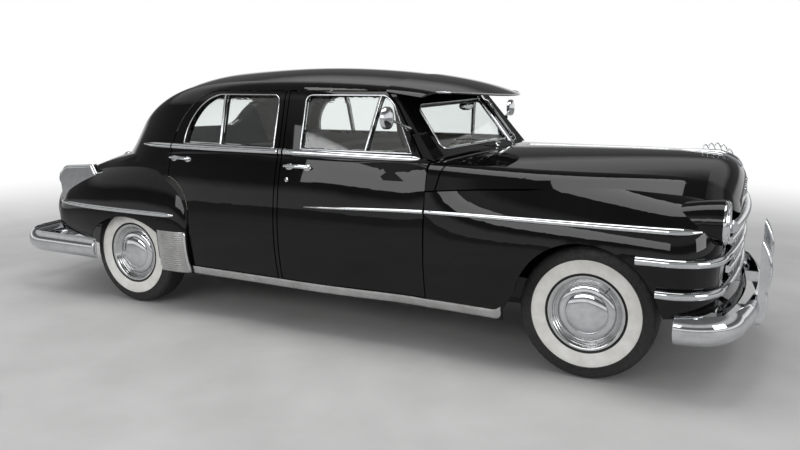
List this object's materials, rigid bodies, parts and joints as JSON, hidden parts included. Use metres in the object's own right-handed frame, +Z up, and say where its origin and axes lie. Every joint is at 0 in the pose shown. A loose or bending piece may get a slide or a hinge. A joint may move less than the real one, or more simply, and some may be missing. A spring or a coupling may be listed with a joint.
{
  "type": "classic four-door sedan car",
  "caption": "Full-size postwar four-door sedan with separate frame, steered front wheels, opening doors, hood and trunk lid.",
  "frame": {"origin": "on the floor under the middle of the overall length and width", "axes": "+X forward, +Y to the car's left, +Z up"},
  "size_m": [5.3015, 2.16, 1.6449],
  "materials": {
    "body_black": "deep gloss black body enamel",
    "chrome": "polished chrome plate",
    "underbody": "satin black chassis paint",
    "glass": "clear laminated safety glass, faint green tint",
    "tyre": "black rubber with white sidewall band",
    "wheel": "black painted steel rim with plated trim ring and cap",
    "seat_cloth": "grey-brown woven wool upholstery",
    "interior": "brown painted dash with satin sheen",
    "wheel_plastic": "moulded plastic steering wheel rim",
    "lens": "fluted clear lens glass",
    "iron": "painted cast iron",
    "steel": "bare weathered steel"
  },
  "bodies": {
    "body": {"chassis_frame": "underbody", "floor_pan": "underbody", "body_shell": "body_black", "fender_front_right": "body_black", "fender_front_left": "body_black", "fender_rear_right": "body_black", "fender_rear_left": "body_black", "grille": "chrome", "front_pan": "body_black", "bumper_front": "chrome", "bumper_rear": "chrome", "headlamps": "chrome", "headlamp_lenses": "lens", "tail_lamps": "chrome", "sun_visor": "body_black", "windscreen": "glass", "rear_window": "glass", "front_seat": "seat_cloth", "rear_seat": "seat_cloth", "dashboard": "interior", "steering_wheel": "wheel_plastic", "front_suspension": "underbody", "rear_axle": "underbody", "engine": "iron", "exhaust": "steel", "fuel_tank": "underbody", "radiator": "underbody"},
    "hood": {"hood": "body_black"},
    "trunk_lid": {"trunk_lid": "body_black"},
    "door_front_right": {"door_front_right": "body_black", "door_glass_front_right": "glass"},
    "door_front_left": {"door_front_left": "body_black", "door_glass_front_left": "glass"},
    "door_rear_right": {"door_rear_right": "body_black", "door_glass_rear_right": "glass"},
    "door_rear_left": {"door_rear_left": "body_black", "door_glass_rear_left": "glass"},
    "knuckle_right": {"knuckle_right": "underbody"},
    "knuckle_left": {"knuckle_left": "underbody"},
    "wheel_front_right": {"tyre_front_right": "tyre", "wheel_front_right": "wheel"},
    "wheel_front_left": {"tyre_front_left": "tyre", "wheel_front_left": "wheel"},
    "wheel_rear_right": {"tyre_rear_right": "tyre", "wheel_rear_right": "wheel"},
    "wheel_rear_left": {"tyre_rear_left": "tyre", "wheel_rear_left": "wheel"}
  },
  "joints": [
    {"name": "steer_right", "type": "hinge", "parent": "body", "child": "knuckle_right", "pos_m": [1.805, -0.69, 0.36], "axis": [0, 0, 1], "range_deg": [-33, 33]},
    {"name": "spin_front_right", "type": "hinge", "parent": "knuckle_right", "child": "wheel_front_right", "pos_m": [1.805, -0.724, 0.36], "axis": [0, 1, 0], "continuous": true},
    {"name": "spin_rear_right", "type": "hinge", "parent": "body", "child": "wheel_rear_right", "pos_m": [-1.383, -0.758, 0.36], "axis": [0, 1, 0], "continuous": true},
    {"name": "door_front_right_hinge", "type": "hinge", "parent": "body", "child": "door_front_right", "pos_m": [0.917, -0.946, 0.72], "axis": [0, 0, 1], "range_deg": [0, 62]},
    {"name": "door_rear_right_hinge", "type": "hinge", "parent": "body", "child": "door_rear_right", "pos_m": [-0.096, -0.948, 0.72], "axis": [0, 0, 1], "range_deg": [0, 62]},
    {"name": "steer_left", "type": "hinge", "parent": "body", "child": "knuckle_left", "pos_m": [1.805, 0.69, 0.36], "axis": [0, 0, 1], "range_deg": [-33, 33]},
    {"name": "spin_front_left", "type": "hinge", "parent": "knuckle_left", "child": "wheel_front_left", "pos_m": [1.805, 0.724, 0.36], "axis": [0, 1, 0], "continuous": true},
    {"name": "spin_rear_left", "type": "hinge", "parent": "body", "child": "wheel_rear_left", "pos_m": [-1.383, 0.758, 0.36], "axis": [0, 1, 0], "continuous": true},
    {"name": "door_front_left_hinge", "type": "hinge", "parent": "body", "child": "door_front_left", "pos_m": [0.917, 0.946, 0.72], "axis": [0, 0, -1], "range_deg": [0, 62]},
    {"name": "door_rear_left_hinge", "type": "hinge", "parent": "body", "child": "door_rear_left", "pos_m": [-0.096, 0.948, 0.72], "axis": [0, 0, -1], "range_deg": [0, 62]},
    {"name": "hood_hinge", "type": "hinge", "parent": "body", "child": "hood", "pos_m": [1.002, 0, 1.166], "axis": [0, -1, 0], "range_deg": [0, 42]},
    {"name": "trunk_hinge", "type": "hinge", "parent": "body", "child": "trunk_lid", "pos_m": [-1.792, 0, 1.054], "axis": [0, 1, 0], "range_deg": [0, 60]}
  ],
  "couplings": [
    {"joint": "steer_left", "follows": "steer_right", "ratio": 1}
  ]
}
